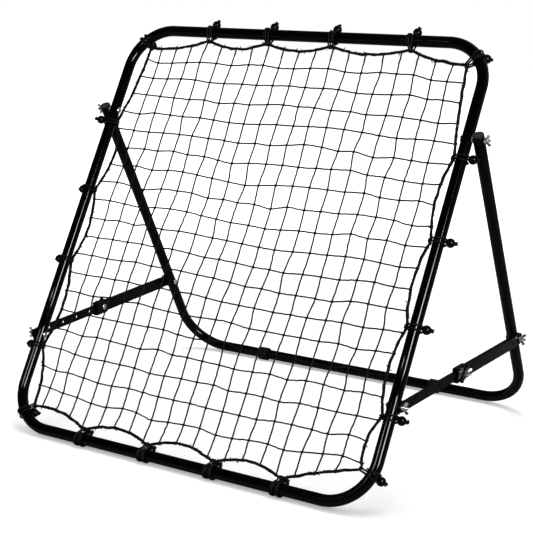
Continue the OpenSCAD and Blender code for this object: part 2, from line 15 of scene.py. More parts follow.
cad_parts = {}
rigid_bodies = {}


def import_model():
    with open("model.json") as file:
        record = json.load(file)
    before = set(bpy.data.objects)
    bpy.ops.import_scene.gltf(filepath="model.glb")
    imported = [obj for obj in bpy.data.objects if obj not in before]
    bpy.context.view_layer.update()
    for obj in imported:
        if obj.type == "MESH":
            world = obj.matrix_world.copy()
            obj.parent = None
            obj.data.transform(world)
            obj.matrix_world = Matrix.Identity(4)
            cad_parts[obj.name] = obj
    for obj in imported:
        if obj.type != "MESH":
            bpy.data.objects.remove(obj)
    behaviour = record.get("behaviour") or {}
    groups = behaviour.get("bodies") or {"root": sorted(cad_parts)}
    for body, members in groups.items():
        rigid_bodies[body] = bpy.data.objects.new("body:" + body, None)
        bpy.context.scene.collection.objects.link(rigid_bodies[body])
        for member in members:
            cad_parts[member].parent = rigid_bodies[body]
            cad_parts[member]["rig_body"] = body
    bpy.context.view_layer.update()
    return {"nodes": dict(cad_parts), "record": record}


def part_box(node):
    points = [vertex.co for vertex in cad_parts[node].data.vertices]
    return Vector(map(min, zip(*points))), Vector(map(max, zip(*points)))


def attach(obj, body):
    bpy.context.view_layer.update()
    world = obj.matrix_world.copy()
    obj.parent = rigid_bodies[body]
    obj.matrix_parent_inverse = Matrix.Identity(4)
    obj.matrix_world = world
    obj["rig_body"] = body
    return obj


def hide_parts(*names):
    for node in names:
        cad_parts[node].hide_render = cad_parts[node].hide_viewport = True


bl_info = {
    "name": "Pitch Back Rebounder",
    "version": (1, 0, 0),
    "blender": (4, 5, 0),
    "location": "3D View > Sidebar > Rebounder",
    "description": "Laced net, border rope, elastic ties and finishes of a leaning tube frame rebounder",
    "category": "Add Mesh",
}

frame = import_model()

TAU = 2 * math.pi


# ---------------------------------------------------------------- sizes and colours a user would change
def length(name, text, value, low, high):
    """A length property in metres."""
    return FloatProperty(name=name, description=text, default=value, min=low, max=high, unit="LENGTH", precision=4)


def colour(name, text, value):
    """A colour property."""
    return FloatVectorProperty(name=name, description=text, default=value, min=0, max=1, size=3, subtype="COLOR")


class RebounderSizes(bpy.types.PropertyGroup):
    """Sizes of the pieces made here."""
    tube: length("Tube", "Outside diameter of the frame tube", 0.025, 0.02, 0.03)
    wall: length("Tube wall", "Wall thickness of the frame tube", 0.0012, 0.0008, 0.002)
    front_bend: length("Front bend", "Centre line radius of the front frame's corners", 0.1, 0.06, 0.15)
    stand_bend: length("Stand bend", "Centre line radius of the rear stand's corners", 0.106, 0.06, 0.15)
    lean: FloatProperty(name="Lean", description="Lean of the front frame from upright",
                        default=math.radians(31.44), min=0.3, max=0.7, subtype="ANGLE")
    stand_lean: FloatProperty(name="Stand lean", description="Lean of the rear stand from upright",
                              default=math.radians(27.06), min=0.3, max=0.7, subtype="ANGLE")
    joint_up: length("Joint height", "Distance up the rails to the joint of the two front tubes", 0.243, 0.2, 0.3)
    spigot: length("Spigot", "Length of the upper tube's end that sits in the lower tube", 0.06, 0.04, 0.08)
    pivot_up: length("Pivot height", "Distance up the rails to the pivot bolts", 0.79, 0.7, 0.85)
    leg_over: length("Leg end", "Length of the stand's leg past the pivot", 0.011, 0.008, 0.02)
    rope: length("Border rope", "Diameter of the rope round the net", 0.0064, 0.003, 0.007)
    rope_lay: length("Rope lay", "Length in which a strand of the rope goes round once", 0.017, 0.01, 0.04)
    twine: length("Net twine", "Diameter of the net's twine", 0.0036, 0.001, 0.005)
    net_columns: IntProperty(name="Columns", description="Meshes of the net from side to side",
                             default=20, min=8, max=28)
    net_rows: IntProperty(name="Rows", description="Meshes of the net from bottom to top",
                          default=20, min=8, max=28)
    net_hang: length("Net hang", "How far the middle of the net hangs back", 0.005, 0.0, 0.02)
    cord: length("Tie cord", "Diameter of the elastic cord", 0.004, 0.003, 0.006)
    ball: length("Tie ball", "Diameter of the ball on each tie", 0.02, 0.015, 0.022)


class RebounderColours(bpy.types.PropertyGroup):
    """Colours of the finishes."""
    powder: colour("Powder coat", "Gloss black coat of the tubes", (0.0009, 0.0009, 0.001))
    strut: colour("Strut paint", "Satin dark grey paint of the struts", (0.0011, 0.0011, 0.0012))
    zinc: colour("Zinc plate", "Bright zinc of the bolts and wing nuts", (0.8, 0.8, 0.78))
    nylon: colour("Nylon", "Washers between rail and leg", (0.5, 0.5, 0.47))
    plug: colour("End plugs", "Grey plastic of the plugs", (0.018, 0.0175, 0.018))
    rubber: colour("Rubber", "Rings under the stand", (0.003, 0.003, 0.003))
    plastic: colour("Black plastic", "Saddles, washers, collars and clamp plates", (0.0016, 0.0016, 0.0016))
    twine: colour("Twine", "Net twine", (0.0022, 0.0022, 0.0022))
    rope: colour("Rope", "Border rope", (0.0018, 0.0018, 0.0018))
    elastic: colour("Elastic", "Tie cords", (0.0018, 0.0018, 0.0019))
    ball: colour("Balls", "Gloss black balls of the ties", (0.0014, 0.0014, 0.0015))


def sizes():
    """The sizes, in millimetres for lengths."""
    return bpy.context.scene.rebounder_sizes


def mm(value):
    """A length property in millimetres."""
    return value * 1000.0


# ---------------------------------------------------------------- where the front frame is
layout_now = {}  # what layout() returns, filled by main() before the first piece


def layout():
    """Places read from the solids, in millimetres: the tubes' radius, half the spacing of the rails, their
    length, the bottom tube's height and place along Y, and half the spacing of the stand's legs."""
    radius = mm(sizes().tube) / 2
    low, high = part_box("lower_frame_tube")
    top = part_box("upper_frame_tube")[1]
    ground = mm(low.z) + radius
    half = mm(high.x) - radius
    rail = (mm(top.z) - radius - ground) / math.cos(sizes().lean)
    leg_x = mm(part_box("rear_stand_tube")[1].x) - radius
    return {"radius": radius, "half": half, "rail": rail, "ground": ground, "front": mm(low.y) + radius,
            "leg_x": leg_x}


def place(across, up, out):
    """Model place in metres of a point of the front frame: across is X, up runs along the rails from the
    bottom tube's centre line, and out is square to the net on its striking side."""
    at = layout_now
    across, up, out = np.broadcast_arrays(across, up, out)
    lean = sizes().lean
    y = at["front"] + up * math.sin(lean) - out * math.cos(lean)
    z = at["ground"] + up * math.cos(lean) + out * math.sin(lean)
    return np.stack([across, y, z], -1) / 1000.0


# ---------------------------------------------------------------- meshes from grids
WELD = 1e-6  # points of a piece closer than this become one, in metres


def unit(v):
    """Each vector divided by its own length."""
    return v / np.maximum(np.linalg.norm(v, axis=-1, keepdims=True), 1e-12)


def grid(points, wrap_u=False, wrap_v=False, u=None):
    """A surface as a function of two parameters on a grid: points[i, j] is its value at (u[i], v[j]),
    and wrap_u or wrap_v joins the last line to the first. v goes from 0 to 1."""
    n, m = points.shape[:2]
    i = np.arange(n if wrap_u else n - 1)[:, None]
    j = np.arange(m if wrap_v else m - 1)[None, :]
    a, b = i * m + j, i * m + (j + 1) % m
    c, d = ((i + 1) % n) * m + (j + 1) % m, ((i + 1) % n) * m + j
    quads = np.stack(np.broadcast_arrays(a, b, c, d), -1).reshape(-1, 4)
    if u is None:
        u = np.linspace(0.0, 1.0, n + 1)
    elif len(u) == n:
        u = np.append(u, 2 * u[-1] - u[-2])
    v = np.linspace(0.0, 1.0, (m if wrap_v else m - 1) + 1)
    ii, jj = np.broadcast_arrays(i, j)
    uv = np.stack([np.stack([u[ii], v[jj]], -1), np.stack([u[ii], v[jj + 1]], -1),
                   np.stack([u[ii + 1], v[jj + 1]], -1), np.stack([u[ii + 1], v[jj]], -1)], 2)
    return points.reshape(-1, 3), quads, uv.reshape(-1, 2)


def copies(points):
    """Many small surfaces at once, closed in v: points[k, i, j] is the value of surface k at (u[i], v[j])."""
    one, quads, uv = grid(points[0], wrap_v=True)
    first = len(one) * np.arange(len(points))[:, None, None]
    return points.reshape(-1, 3), (quads + first).reshape(-1, 4), np.tile(uv, (len(points), 1))


def piece(name, grids, slot, crease, body="front_frame"):
    """One object from several grids, with welded poles, faces outwards and smooth shading up to a crease."""
    counts = np.cumsum([0] + [len(g[0]) for g in grids])
    points = np.concatenate([g[0] for g in grids])
    quads = np.concatenate([g[1] + k for g, k in zip(grids, counts)])
    uv = np.concatenate([g[2] for g in grids])
    mesh = bpy.data.meshes.new(name)
    mesh.vertices.add(len(points))
    mesh.vertices.foreach_set("co", points.astype(np.float32).ravel())
    mesh.loops.add(quads.size)
    mesh.loops.foreach_set("vertex_index", quads.astype(np.int32).ravel())
    mesh.polygons.add(len(quads))
    mesh.polygons.foreach_set("loop_start", np.arange(0, quads.size, 4, dtype=np.int32))
    mesh.uv_layers.new(name="UVMap").data.foreach_set("uv", uv.astype(np.float32).ravel())
    mesh.update(calc_edges=True)
    work = bmesh.new()
    work.from_mesh(mesh)
    bmesh.ops.remove_doubles(work, verts=work.verts, dist=WELD)
    bmesh.ops.recalc_face_normals(work, faces=work.faces)
    work.to_mesh(mesh)
    work.free()
    mesh.shade_smooth()
    mesh.set_sharp_from_angle(angle=math.radians(crease))
    return add(name, mesh, body, slot)


def add(name, mesh, body, slot):
    """Links a mesh as a piece at the origin, with its slot's finish, on a body."""
    mesh.materials.clear()
    mesh.materials.append(finish(slot))
    shown = bpy.data.objects.new(name, mesh)
    bpy.context.scene.collection.objects.link(shown)
    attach(shown, body)
    return shown


def sweep(path, tangent, side, radius, sides, ripple=None):
    """Round skin along a path: p(s) + r(s, a) (cos a * k(s) + sin a * w(s)), where k is the side direction
    made square to the tangent and w is square to both. ripple(s, a) scales the radius."""
    tangent = unit(tangent)
    k = unit(side - (side * tangent).sum(-1, keepdims=True) * tangent)
    w = np.cross(tangent, k)
    a = np.linspace(0.0, TAU, sides, endpoint=False)[None, :]
    r = np.broadcast_to(np.asarray(radius, float).reshape(-1, 1), (len(path), sides))
    if ripple is not None:
        r = r * ripple
    return path[:, None] + (r * np.cos(a))[..., None] * k[:, None] + (r * np.sin(a))[..., None] * w[:, None]


def run_length(path, closed=False):
    """Distance along a path at each of its points: the sum of its steps so far. For a closed path the whole
    length comes with it."""
    step = np.linalg.norm(np.diff(path, axis=0), axis=-1)
    total = np.concatenate([[0.0], np.cumsum(step)])
    if closed:
        return total, total[-1] + np.linalg.norm(path[0] - path[-1])
    return total


def ring_skin(path, side, radius, sides, ripple=None):
    """Round skin of a closed path, as a grid with the length along it as u."""
    s, total = run_length(path, True)
    way = np.roll(path, -1, 0) - np.roll(path, 1, 0)
    skin = sweep(path, way, np.tile(side, (len(path), 1)), radius, sides, ripple)
    return grid(skin, wrap_u=True, wrap_v=True, u=np.append(s, total))


def line_skin(path, side, radius, sides):
    """Round skin of an open path, as a grid with the length along it as u."""
    skin = sweep(path, np.gradient(path, axis=0), np.tile(side, (len(path), 1)), radius, sides)
    return grid(skin, wrap_v=True, u=run_length(path))


def even(path, step):
    """A closed path's points moved to equal distances of about a step along it."""
    ring = np.concatenate([path, path[:1]])
    s = run_length(ring)
    at = np.linspace(0.0, s[-1], max(int(round(s[-1] / step)), 4) + 1)[:-1]
    return np.stack([np.interp(at, s, ring[:, k]) for k in range(ring.shape[1])], -1)


def soften(path, width):
    """A closed path averaged with a bell of the given number of points, which rounds its corners."""
    k = np.arange(-3 * width, 3 * width + 1)
    w = np.exp(-0.5 * (k / width) ** 2)
    w /= w.sum()
    pad = 3 * width
    long = np.concatenate([path[-pad:], path, path[:pad]])
    return np.stack([np.convolve(long[:, c], w, "valid") for c in range(path.shape[1])], -1)


def wander(s, total, size, waves, seed):
    """Smooth closed noise along a length: a sum of whole sine waves with seeded phases, of the given size."""
    rng = np.random.default_rng(seed)
    k = np.arange(1, waves + 1)
    amp = rng.normal(size=waves) * np.exp(-k / waves)
    phase = rng.uniform(0, TAU, waves)
    y = (amp * np.sin(TAU * s[:, None] * k / total + phase)).sum(1)
    return size * y / max(np.abs(y).max(), 1e-9)


def spun(profile, origin, axis, side, sides):
    """A profile of (distance d along the axis, radius r) turned round it: d * axis + r (cos a * k + sin a * w)
    from the origin, where k is the side direction made square to the axis and w is square to both."""
    axis = unit(np.asarray(axis, float))
    k = unit(np.asarray(side, float) - np.dot(side, axis) * axis)
    w = np.cross(axis, k)
    a = np.linspace(0.0, TAU, sides, endpoint=False)
    ring = np.cos(a)[:, None] * k + np.sin(a)[:, None] * w
    profile = np.asarray(profile, float)
    return np.asarray(origin) + profile[:, 0, None, None] * axis + profile[:, 1, None, None] * ring[None]


# ---------------------------------------------------------------- finishes
def feed(tree, target, inputs):
    """Fills a node's inputs, given by name or number: an output is linked, anything else is the value."""
    for key, value in inputs.items():
        if isinstance(value, bpy.types.NodeSocket):
            tree.links.new(value, target.inputs[key])
        else:
            target.inputs[key].default_value = value


def node(tree, kind, inputs=None, **attributes):
    """The outputs of a new node with these inputs and attributes."""
    new = tree.nodes.new("ShaderNode" + kind)
    for key, value in attributes.items():
        setattr(new, key, value)
    feed(tree, new, inputs or {})
    return new.outputs


def maths(tree, operation, *values):
    """The result of an operation on outputs or numbers."""
    return node(tree, "Math", dict(enumerate(values)), operation=operation)[0]


def ranged(tree, source, low, high, start=0.3, end=0.7):
    """A value spread from low to high as the source goes from start to end."""
    return node(tree, "MapRange", {"Value": source, "From Min": start, "From Max": end,
                                   "To Min": low, "To Max": high})["Result"]


def tinted(tree, source, first, second):
    """Two colours mixed by a value: first, which may be an output, where it is 0, and second where it is 1."""
    first = first if isinstance(first, bpy.types.NodeSocket) else (*first, 1)
    # The node's colours are its inputs 6 and 7 and its output 2.
    return node(tree, "Mix", {0: source, 6: first, 7: (*second, 1)}, data_type="RGBA")[2]


def new_group(name, inputs, outputs):
    """A node group's tree, the places its inputs come from and its end node. The inputs are numbers."""
    t = bpy.data.node_groups.new(name, "ShaderNodeTree")
    for key, value in inputs.items():
        t.interface.new_socket(name=key, in_out="INPUT", socket_type="NodeSocketFloat").default_value = value
    for key, kind in outputs.items():
        t.interface.new_socket(name=key, in_out="OUTPUT", socket_type="NodeSocket" + kind)
    return t, t.nodes.new("NodeGroupInput").outputs, t.nodes.new("NodeGroupOutput")


def speckle(name):
    """Fine and broad noise on the object's own coordinates: a normal of small waves, and two masks."""
    t, given, end = new_group(name, {"Fine": 900.0, "Broad": 14.0, "Depth": 0.00002},
                              {"Fine mask": "Float", "Broad mask": "Float", "Normal": "Vector"})
    where = node(t, "TexCoord")["Object"]
    fine = node(t, "TexNoise", {"Vector": where, "Scale": given["Fine"], "Detail": 2.0, "Roughness": 0.5})["Fac"]
    broad = node(t, "TexNoise", {"Vector": where, "Scale": given["Broad"], "Detail": 5.0, "Roughness": 0.6})["Fac"]
    bump = node(t, "Bump", {"Height": fine, "Distance": given["Depth"], "Strength": 1.0})["Normal"]
    feed(t, end, {"Fine mask": fine, "Broad mask": broad, "Normal": bump})
    return t


def scuffs(name):
    """Thin rubbed streaks: stretched noise cut at a threshold, as a mask."""
    t, given, end = new_group(name, {"Scale": 60.0, "From": 0.62, "To": 0.72}, {"Mask": "Float"})
    turn = node(t, "Mapping", {"Vector": node(t, "TexCoord")["Object"], "Rotation": (0.4, 0.9, 0.3),
                               "Scale": (1.0, 0.16, 1.0)})["Vector"]
    noise = node(t, "TexNoise", {"Vector": turn, "Scale": given["Scale"], "Detail": 4.0, "Roughness": 0.7})["Fac"]
    feed(t, end, {"Mask": ranged(t, noise, 0.0, 1.0, given["From"], given["To"])})
    return t


def braid(name):
    """Braided cover on the piece's own map, u in metres along the cord and v once round it: two families
    of diagonal yarns, height = max of |sin(pi (u / pitch +- yarns v))|, with fine fibres across."""
    t, given, end = new_group(name, {"Pitch": 0.0024, "Yarns": 4.0, "Cross": 1.0, "Depth": 0.0002},
                              {"Height": "Float", "Fibre": "Float", "Normal": "Vector"})
    where = node(t, "TexCoord")
    uv = node(t, "SeparateXYZ", {0: where["UV"]})
    along, turn = maths(t, "DIVIDE", uv["X"], given["Pitch"]), maths(t, "MULTIPLY", uv["Y"], given["Yarns"])
    yarns = [maths(t, "ABSOLUTE", maths(t, "SINE", maths(t, "MULTIPLY", maths(t, way, along, turn), math.pi)))
             for way in ("ADD", "SUBTRACT")]
    top = maths(t, "MAXIMUM", yarns[0], maths(t, "MULTIPLY", yarns[1], given["Cross"]))
    fibre = node(t, "TexNoise", {"Vector": where["Object"], "Scale": 2600.0, "Detail": 2.0})["Fac"]
    height = maths(t, "ADD", top, maths(t, "MULTIPLY", fibre, 0.35))
    bump = node(t, "Bump", {"Height": height, "Distance": given["Depth"], "Strength": 1.0})["Normal"]
    feed(t, end, {"Height": top, "Fibre": fibre, "Normal": bump})
    return t


def use(tree, make, **values):
    """The outputs of a shared group in a material, with its input values. It is made at its first use."""
    name = make.__name__.capitalize()
    new = tree.nodes.new("ShaderNodeGroup")
    new.node_tree = bpy.data.node_groups.get(name) or make(name)
    feed(tree, new, values)
    return new.outputs


def paint(t, tint, dust, rough, shine, fine, depth, scuff_from):
    """Paint or powder coat: fine orange peel, roughness that drifts, dust in the broad noise and rubbed
    streaks, which are paler and rougher."""
    speck = use(t, speckle, Fine=fine, Broad=9.0, Depth=depth)
    scuff = use(t, scuffs, Scale=55.0, From=scuff_from, To=scuff_from + 0.12)["Mask"]
    base = tinted(t, ranged(t, speck["Broad mask"], 0.0, 1.0, 0.35, 0.75), tint, dust)
    rubbed = tuple(min(1.0, c * 1.8 + 0.002) for c in dust)
    return {"Base Color": tinted(t, ranged(t, scuff, 0.0, 0.5, 0.0, 1.0), base, rubbed),
            "Roughness": maths(t, "ADD", ranged(t, speck["Broad mask"], rough - 0.03, rough + 0.05),
                               ranged(t, scuff, 0.0, 0.12, 0.0, 1.0)),
            "Normal": speck["Normal"], "Specular IOR Level": shine}


def plate(t, tint):
    """Bright zinc: metal with drifting roughness, a thin warm and cool tint and fine tumbling marks."""
    speck = use(t, speckle, Fine=1500.0, Broad=120.0, Depth=0.00003)
    cool = tuple(c * k for c, k in zip(tint, (0.82, 0.86, 0.93)))
    return {"Base Color": tinted(t, ranged(t, speck["Broad mask"], 0.0, 1.0), tint, cool),
            "Roughness": ranged(t, speck["Broad mask"], 0.12, 0.26), "Normal": speck["Normal"], "Metallic": 0.9}


def plastic(t, tint, rough, fine, depth, gloss):
    """Moulded plastic or rubber: pebbled skin, roughness that drifts and slightly paler high spots."""
    speck = use(t, speckle, Fine=fine, Broad=45.0, Depth=depth)
    pale = tuple(min(1.0, c * 1.6) for c in tint)
    return {"Base Color": tinted(t, ranged(t, speck["Broad mask"], 0.0, 1.0), tint, pale),
            "Roughness": ranged(t, speck["Fine mask"], rough - 0.06, rough + 0.08),
            "Normal": speck["Normal"], "Specular IOR Level": gloss}


def cord(t, tint, pitch, yarns, cross, depth, rough):
    """Braided or laid cord: diagonal yarns with rougher valleys darkened by painted shade, and paler fibres."""
    yarn = use(t, braid, Pitch=pitch, Yarns=yarns, Cross=cross, Depth=depth)
    # Painted shade: the valleys between the yarns take the cord's colour at 0.35 times, darker than the yarns'
    # tops.
    valley_shade = tuple(c * 0.35 for c in tint)
    pale = tuple(min(1.0, c * 2.2) for c in tint)
    base = tinted(t, ranged(t, yarn["Height"], 0.0, 1.0, 0.2, 1.0), valley_shade, tint)
    return {"Base Color": tinted(t, ranged(t, yarn["Fibre"], 0.0, 0.7, 0.5, 0.8), base, pale),
            "Roughness": ranged(t, yarn["Height"], rough + 0.15, rough - 0.05, 0.0, 1.0),
            "Normal": yarn["Normal"], "Specular IOR Level": 0.09}


FINISHES = {}  # the materials made so far, by slot


def finish(slot):
    """The material of a slot, made once."""
    c, z = bpy.context.scene.rebounder_colours, sizes()
    looks = {"powder_coat": (paint, c.powder, (0.0012, 0.0012, 0.0013), 0.1, 0.12, 700.0, 0.000003, 0.72),
             "strut_paint": (paint, c.strut, (0.0016, 0.0016, 0.0017), 0.4, 0.06, 1300.0, 0.00002, 0.68),
             "zinc_plate": (plate, c.zinc),
             "nylon": (plastic, c.nylon, 0.4, 1400.0, 0.00004, 0.25),
             "plug_plastic": (plastic, c.plug, 0.5, 1700.0, 0.00005, 0.12),
             "ring_rubber": (plastic, c.rubber, 0.66, 1100.0, 0.00006, 0.09),
             "black_plastic": (plastic, c.plastic, 0.34, 1500.0, 0.00003, 0.09),
             "ball_plastic": (plastic, c.ball, 0.16, 900.0, 0.000006, 0.09),
             "net_twine": (cord, c.twine, mm(z.twine) * 0.0022, 2.0, 0.0, 0.00012, 0.62),
             "border_rope": (cord, c.rope, 0.0011, 6.0, 0.0, 0.0003, 0.75),
             "elastic_cord": (cord, c.elastic, 0.0021, 5.0, 1.0, 0.0003, 0.55)}
    if slot not in FINISHES:
        look, *values = looks[slot]
        m = bpy.data.materials.new(slot)
        m.use_nodes = True
        t = m.node_tree
        feed(t, t.nodes["Principled BSDF"], look(t, *values))
        FINISHES[slot] = m
    return FINISHES[slot]


# ---------------------------------------------------------------- tubes
BORE_SHOWN = 18.0  # how deep an open end's bore is made
TUBE_RIM = 0.5  # radius of an open end's rolled rim
TUBE_SIDES = 56


def u_route(half, long, bend, start):
    """Centre line of a U: up one leg from start, round two quarter circles of the bend radius and down the
    other leg; returns places in (across, along) and their directions."""
    arc = np.linspace(0.0, math.pi / 2, 40)
    leg = np.linspace(start, long - bend, 8)[:-1]
    bar = np.linspace(-half + bend, half - bend, 10)[1:-1]
    corner = np.stack([-half + bend - bend * np.cos(arc), long - bend + bend * np.sin(arc)], -1)
    turn = np.stack([np.sin(arc), np.cos(arc)], -1)
    one = np.stack([np.full_like(leg, -half), leg], -1)
    mid = np.stack([bar, np.full_like(bar, long)], -1)
    mirror = np.array([-1.0, 1.0])
    points = np.concatenate([one, corner, mid, (corner * mirror)[::-1], (one * mirror)[::-1]])
    ways = np.concatenate([np.tile([0.0, 1.0], (len(one), 1)), turn, np.tile([1.0, 0.0], (len(mid), 1)),
                           (turn * [1.0, -1.0])[::-1], np.tile([0.0, -1.0], (len(one), 1))])
    return points, ways


def open_end(points, ways, outside, inside, rim):
    """Adds a rolled rim and the first of the bore to both ends: extra rings, each a distance into the tube
    and a radius, from deep in the bore out to the rim and over it."""
    rings = np.array([[BORE_SHOWN, inside], [0.0, inside], [0.0, inside + rim], [0.0, outside - rim],
                      [rim * 0.3, outside - rim * 0.3]])
    first, last = points[0] + rings[:, :1] * ways[0], points[-1] - rings[:, :1] * ways[-1]
    body_first, body_last = points[0] + rim * ways[0], points[-1] - rim * ways[-1]
    route = np.concatenate([first, [body_first], points[1:-1], [body_last], last[::-1]])
    direction = np.concatenate([np.tile(ways[0], (len(first) + 1, 1)), ways[1:-1],
                                np.tile(ways[-1], (len(last) + 1, 1))])
    radii = np.concatenate([rings[:, 1], np.full(len(points), outside), rings[::-1, 1]])
    return route, direction, radii


def tube_skin(route, direction, radii, to_model, out):
    """Skin of a bent tube: circles of the given radii square to the route, in the plane given by to_model."""
    p = to_model(route[:, 0], route[:, 1])
    ahead = to_model(route[:, 0] + direction[:, 0], route[:, 1] + direction[:, 1]) - p
    skin = sweep(p, ahead, np.broadcast_to(out, p.shape), radii / 1000.0, TUBE_SIDES)
    return grid(skin, wrap_v=True, u=run_length(p) + 1e-6 * np.arange(len(p)))


def bent_tube(name, route, to_model, out, body, necks=()):
    """One U tube along a route, with open rolled ends and necks, as a piece on a body."""
    at = layout_now
    ends = open_end(*route, at["radius"], at["radius"] - mm(sizes().wall), TUBE_RIM)
    return piece(name, [tube_skin(*ends, to_model, out), *necks], "powder_coat", 50, body)


def spigots(joint, out):
    """The two necks that sit in the lower tube: a thin pipe drawn down from the bore, with an open end."""
    z, at = sizes(), layout_now
    inside, end = at["radius"] - mm(z.wall), joint - mm(z.spigot)
    neck = np.array([[joint + 14, inside - 1.4], [end, inside - 1.4], [end, inside - 0.5],
                     [end + 0.6, inside - 0.1], [joint + 2, inside - 0.1]])
    up = np.tile(place(0, 1, 0) - place(0, 0, 0), (len(neck), 1))
    sides = np.tile(out, (len(neck), 1))
    return [grid(sweep(place(side * at["half"], neck[:, 0], 0.0), up, sides, neck[:, 1] / 1000, 40), wrap_v=True)
            for side in (-1, 1)]


class REBOUNDER_OT_tubes(bpy.types.Operator):
    """Bends the two front tubes and the rear stand as smooth skins with rolled open ends"""
    bl_idname = "rebounder.tubes"
    bl_label = "Frame tubes"

    def execute(self, context):
        z, at = sizes(), layout_now
        joint, bend = mm(z.joint_up), mm(z.front_bend)
        out = np.array([0.0, -math.cos(z.lean), math.sin(z.lean)])
        upper = bent_tube("upper_tube", u_route(at["half"], at["rail"], bend, joint),
                          lambda x, s: place(x, s, 0.0), out, "front_frame", spigots(joint, out))
        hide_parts("upper_frame_tube")
        lower = bent_tube("lower_tube", u_route(at["half"], 0.0, bend, -joint),
                          lambda x, s: place(x, -s, 0.0), out, "front_frame")
        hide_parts("lower_frame_tube")

        tilt = z.stand_lean
        pivot = place(0.0, mm(z.pivot_up), 0.0) * 1000
        leg = (pivot[2] - at["ground"]) / math.cos(tilt)

        def on_stand(x, s):
            """Place of a point of the stand: across, and down its legs from the pivot."""
            x, s = np.broadcast_arrays(x, s)
            return np.stack([x, pivot[1] + s * math.sin(tilt), pivot[2] - s * math.cos(tilt)], -1) / 1000.0

        rear = bent_tube("stand_tube", u_route(at["leg_x"], leg, mm(z.stand_bend), -mm(z.leg_over)), on_stand,
                         np.array([0.0, math.cos(tilt), math.sin(tilt)]), "rear_stand")
        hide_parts("rear_stand_tube")
        return {"FINISHED"}


# ---------------------------------------------------------------- pieces kept from the solids
KEPT_CREASE = math.radians(32)  # a sharper edge than this stays an edge
HOLE_EDGE = 0.001  # a round hole's rim is cut in edges shorter than this, in metres
# Pieces made for both sides, with the width in millimetres to which their edges are eased.
PLAIN_PIECES = (("strut_sleeve", 0.35), ("sleeve_collar", 0.4), ("clamp_plate", 0.5), ("front_saddle", 0.3),
                ("rear_saddle", 0.3), ("front_washer", 0.3), ("rear_washer", 0.3), ("end_plug", 0.25),
                ("foot_ring", 0.0), ("pivot_washer", 0.1))


def kept(name, bevel, dish=0.0):
    """A smooth copy of a solid's own mesh: doubles merged, flat faces joined and, with a bevel, its edges
    eased by that many millimetres so that they catch the light. With dish the rims of its round holes,
    whose edges are short, are cut at 45 degrees by that many millimetres."""
    source = frame["nodes"][name]
    mesh = source.data.copy()
    work = bmesh.new()
    work.from_mesh(mesh)
    bmesh.ops.remove_doubles(work, verts=work.verts, dist=2e-6)
    bmesh.ops.dissolve_limit(work, angle_limit=math.radians(0.4), verts=work.verts, edges=work.edges)
    if dish:
        rims = [e for e in work.edges if e.calc_length() < HOLE_EDGE and e.calc_face_angle(0.0) > 1.2]
        bmesh.ops.bevel(work, geom=rims, offset=dish / 1000.0, segments=1, affect="EDGES", clamp_overlap=False)
    work.to_mesh(mesh)
    work.free()
    mesh.shade_smooth()
    mesh.set_sharp_from_angle(angle=KEPT_CREASE)
    slot = next(s["material_slot"] for s in frame["record"]["subparts"] if s["node"] == name)
    shown = add(name + "_eased", mesh, source["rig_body"], slot)
    if bevel:
        ease = shown.modifiers.new("eased edges", "BEVEL")
        ease.width = bevel / 1000.0
        ease.segments = 2
        ease.limit_method = "ANGLE"
        ease.angle_limit = KEPT_CREASE
        ease.harden_normals = True
    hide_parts(name)


class REBOUNDER_OT_struts(bpy.types.Operator):
    """Eases and finishes the strut bars, sleeves, collars, saddles and plates"""
    bl_idname = "rebounder.struts"
    bl_label = "Struts and plastic parts"

    def execute(self, context):
        for side in "lr":
            kept(f"strut_bar_{side}", 0.5, dish=1.4)
            for name, bevel in PLAIN_PIECES:
                kept(f"{name}_{side}", bevel)
        return {"FINISHED"}


class REBOUNDER_OT_fasteners(bpy.types.Operator):
    """Eases and plates the bolts and wing nuts"""
    bl_idname = "rebounder.fasteners"
    bl_label = "Bolts and wing nuts"

    def execute(self, context):
        for side in "lr":
            for name in ("pivot", "front", "rear", "clamp"):
                kept(f"{name}_bolt_{side}", 0.15)
                kept(f"{name}_nut_{side}", 0.35)
        return {"FINISHED"}


# ---------------------------------------------------------------- rope, net and ties
# Places of the ties along the tubes' centre lines, in order round the frame.
TIES_BOTTOM = (-255, -78, 97, 263)
TIES_RIGHT = (188, 377, 563, 745)
TIES_TOP = (277, 78, -89, -252)
TIES_LEFT = (758, 583, 403, 188)
# Corner ties: side of the frame, whether at the top, angle round the bend and turn of the ball, in degrees.
CORNERS = ((1, 0, -18, -60), (1, 1, 42, -58), (-1, 1, 135, -85), (-1, 0, -134, -107))
# Turns of the other balls round their tubes from the outer side towards the striking side, in degrees.
TURN_BOTTOM, TURN_TOP = -126, -20
TURNS_RIGHT, TURNS_LEFT = (0, 0, 0, 2), (22, -18, -16, -16)
# How far the rope is from the tube's centre line at a tie, and how far it sags inwards after each tie.
INSET_EDGE, INSET_SIDE, INSET_CORNER = 21.0, 17.0, 26.0
SAGS = (20, 20, 19, 4, 14, 16, 15, 15, 3, 8, 16, 17, 18, 9, 8, 25, 20, 19, 9, 13)
ROPE_STEP = 1.6  # spacing of the rope's rings
ROPE_FIBRES = 280
# Sides of the net, left, right, bottom and top: the direction that runs along it (0 across, 1 up the
# rails), the net's first and last end, and the window along and square to it in which the rope serves it.
NET_SIDES = ((1, 97, 929, (50, 954), (-math.inf, -380)), (1, 89, 914, (80, 952), (380, math.inf)),
             (0, -390, 378, (-410, 426), (-math.inf, 75)), (0, -382, 386, (-411, 411), (930, math.inf)))
KNOT_SCATTER = 1.9  # how far the net's knots stray from rest
TWINE_STEPS = 6  # steps of a twine from one knot to the next
TWINE_SLACK = 0.3
# Sideways place of a tie's two loops at the rope, on the near and on the far side of the tube, and what a
# further turn adds to it.
LOOP_AT_ROPE, LOOP_NEAR, LOOP_FAR, NEXT_TURN = 2.1, 3.0, 5.8, 4.1
